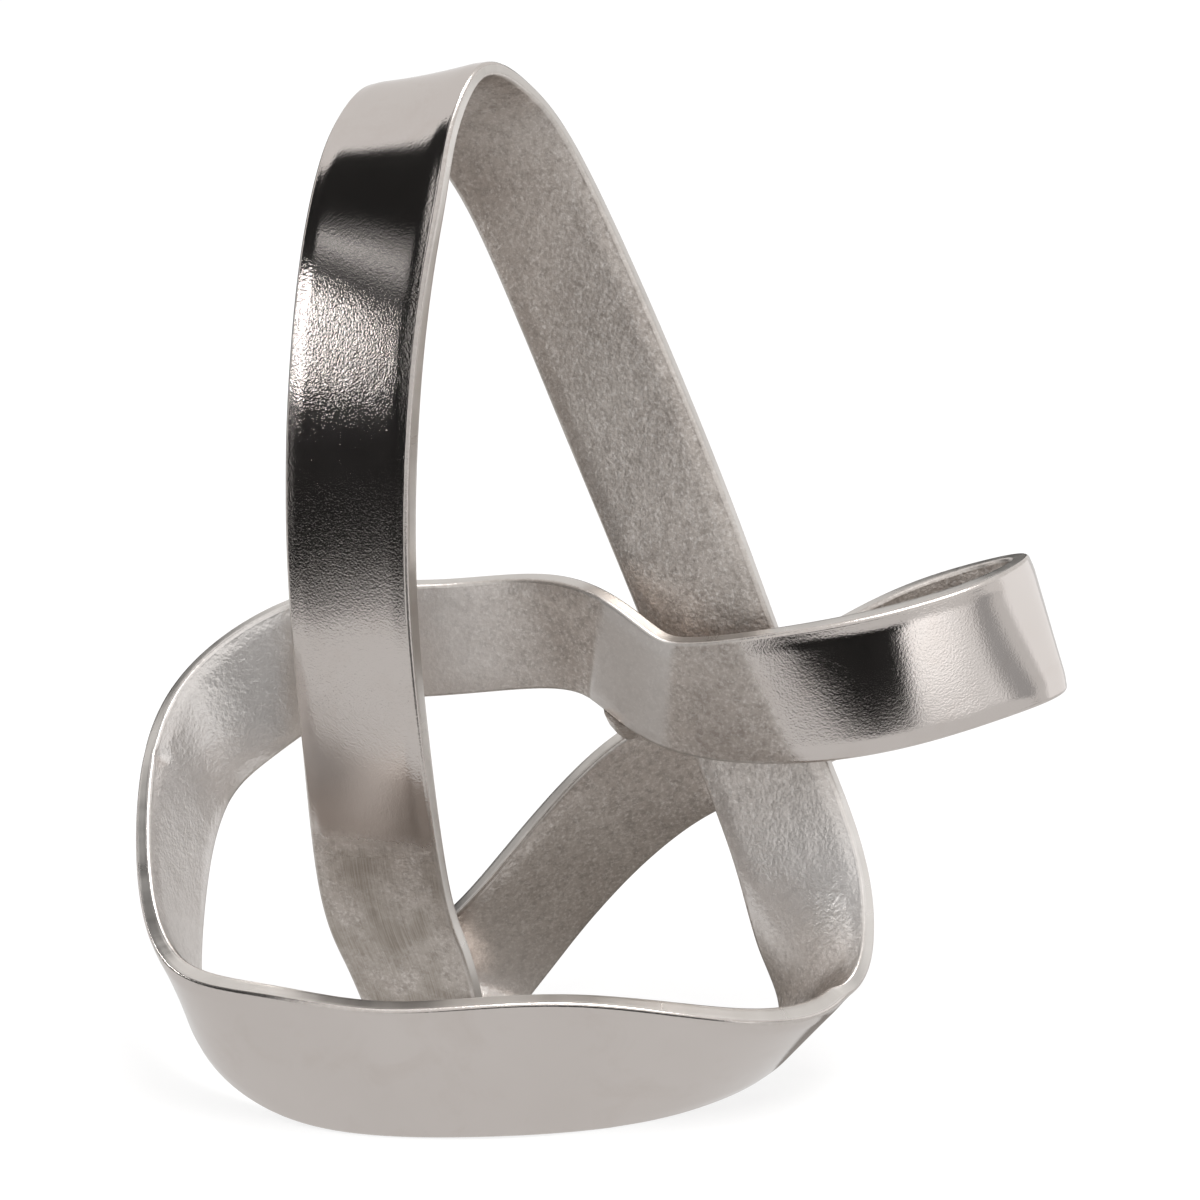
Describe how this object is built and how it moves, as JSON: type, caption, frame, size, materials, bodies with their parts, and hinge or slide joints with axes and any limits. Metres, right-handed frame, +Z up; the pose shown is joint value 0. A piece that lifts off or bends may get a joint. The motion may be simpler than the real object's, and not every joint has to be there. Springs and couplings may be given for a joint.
{
  "type": "metal knot sculpture",
  "caption": "Free-standing table ornament: one flat cast metal ribbon tied as an open trefoil knot, with a tall arch, a side loop and a low front band.",
  "frame": {"origin": "middle of the footprint's bounding box, on the table", "axes": "+X to the viewer's right, +Y away from the viewer, +Z up"},
  "size_m": [0.2329, 0.1011, 0.2547],
  "materials": {
    "cast_metal": "nickel plated and polished on the outer faces, plain sand-cast skin on the inner faces",
    "weld_metal": "weld metal dressed with a file and plated over"
  },
  "bodies": {
    "root": {"front_band": "cast_metal", "rear_band": "cast_metal", "right_loop": "cast_metal", "loop_return": "cast_metal", "strap_foot": "cast_metal", "left_leg": "cast_metal", "right_leg": "cast_metal", "weld_left_bow": "weld_metal", "weld_hub_front": "weld_metal", "weld_loop_turn": "weld_metal", "weld_strap_top": "weld_metal", "weld_leg_low": "weld_metal", "weld_crown": "weld_metal", "weld_right_corner": "weld_metal", "weld_saddle_leg": "weld_metal", "weld_strap_leg": "weld_metal", "weld_rear_strap": "weld_metal"}
  },
  "joints": []
}
